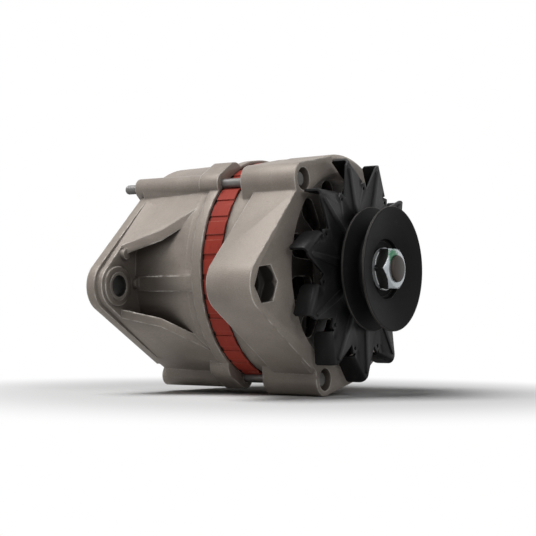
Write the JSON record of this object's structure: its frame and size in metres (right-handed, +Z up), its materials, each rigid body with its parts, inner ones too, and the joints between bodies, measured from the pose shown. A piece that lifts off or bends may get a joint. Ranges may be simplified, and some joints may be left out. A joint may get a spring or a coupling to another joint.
{
  "type": "alternator",
  "caption": "Claw-pole alternator with V-belt pulley, open pressed fan, two cast brackets clamped round a red stator, and pivot ears on one side.",
  "frame": {"origin": "on the shaft axis, in the middle of the pulley's belt groove", "axes": "+X along the shaft towards the pulley nut, +Z up as in the picture, pivot ears towards -Y"},
  "size_m": [0.1807, 0.1969, 0.1489],
  "materials": {
    "cast_aluminium": "satin cast",
    "red_varnish": "satin",
    "copper": "satin",
    "zinc_steel": "bright zinc",
    "bearing_steel": "ground",
    "brass": "satin",
    "sheet_aluminium": "satin",
    "shaft_steel": "machined",
    "pole_iron": "forged",
    "black_finish": "satin",
    "dark_plastic": "matt",
    "pale_plastic": "matt",
    "carbon": "matt"
  },
  "bodies": {
    "housing": {"front_bracket": "cast_aluminium", "rear_bracket": "cast_aluminium", "stator_core": "red_varnish", "winding_u": "copper", "winding_v": "copper", "winding_w": "copper", "through_bolts": "zinc_steel", "front_bearing_outer_race": "bearing_steel", "bearing_retainer": "bearing_steel", "retainer_screws": "zinc_steel", "rear_bearing_outer_race": "bearing_steel", "positive_heat_sink": "sheet_aluminium", "negative_heat_sink": "sheet_aluminium", "positive_diodes": "zinc_steel", "negative_diodes": "zinc_steel", "heat_sink_insulators": "dark_plastic", "heat_sink_screws": "zinc_steel", "output_stud": "zinc_steel", "output_insulator": "dark_plastic", "output_nut": "zinc_steel", "brush_holder": "dark_plastic", "brush_holder_screws": "zinc_steel", "terminal_block": "dark_plastic", "spade_terminals": "brass", "front_brush_spring": "zinc_steel", "rear_brush_spring": "zinc_steel"},
    "rotor": {"rotor_shaft": "shaft_steel", "shaft_key": "shaft_steel", "front_claw_pole": "pole_iron", "rear_claw_pole": "pole_iron", "field_coil": "copper", "coil_bobbin": "pale_plastic", "slip_ring_carrier": "dark_plastic", "front_slip_ring": "copper", "rear_slip_ring": "copper", "front_bearing_inner_race": "bearing_steel", "rear_bearing_inner_race": "bearing_steel", "spacer_collar": "bearing_steel", "fan": "black_finish", "pulley": "black_finish", "spring_washer": "zinc_steel", "pulley_nut": "zinc_steel"},
    "front_ball_cage": {"front_bearing_balls": "bearing_steel", "front_bearing_cage": "brass"},
    "rear_ball_cage": {"rear_bearing_balls": "bearing_steel", "rear_bearing_cage": "brass"},
    "front_carbon_brush": {"front_brush": "carbon"},
    "rear_carbon_brush": {"rear_brush": "carbon"},
    "sliding_sleeve": {"pivot_sleeve": "bearing_steel"}
  },
  "joints": [
    {"name": "rotor_spin", "type": "hinge", "parent": "housing", "child": "rotor", "pos_m": [0, 0, 0], "axis": [1, 0, 0], "continuous": true},
    {"name": "front_bearing_spin", "type": "hinge", "parent": "housing", "child": "front_ball_cage", "pos_m": [-0.038, 0, 0], "axis": [1, 0, 0], "continuous": true},
    {"name": "rear_bearing_spin", "type": "hinge", "parent": "housing", "child": "rear_ball_cage", "pos_m": [-0.1395, 0, 0], "axis": [1, 0, 0], "continuous": true},
    {"name": "front_brush_slide", "type": "slide", "parent": "housing", "child": "front_carbon_brush", "axis": [0, 0, 1], "range_m": [0, 0.005], "stiffness_N_per_m": 250, "springref_m": -0.01, "deforming": ["front_brush_spring"]},
    {"name": "rear_brush_slide", "type": "slide", "parent": "housing", "child": "rear_carbon_brush", "axis": [0, 0, 1], "range_m": [0, 0.005], "stiffness_N_per_m": 250, "springref_m": -0.01, "deforming": ["rear_brush_spring"]},
    {"name": "sleeve_slide", "type": "slide", "parent": "housing", "child": "sliding_sleeve", "axis": [1, 0, 0], "range_m": [-0.001, 0.004]}
  ],
  "couplings": [
    {"joint": "front_bearing_spin", "follows": "rotor_spin", "ratio": 0.3734},
    {"joint": "rear_bearing_spin", "follows": "rotor_spin", "ratio": 0.3816}
  ]
}
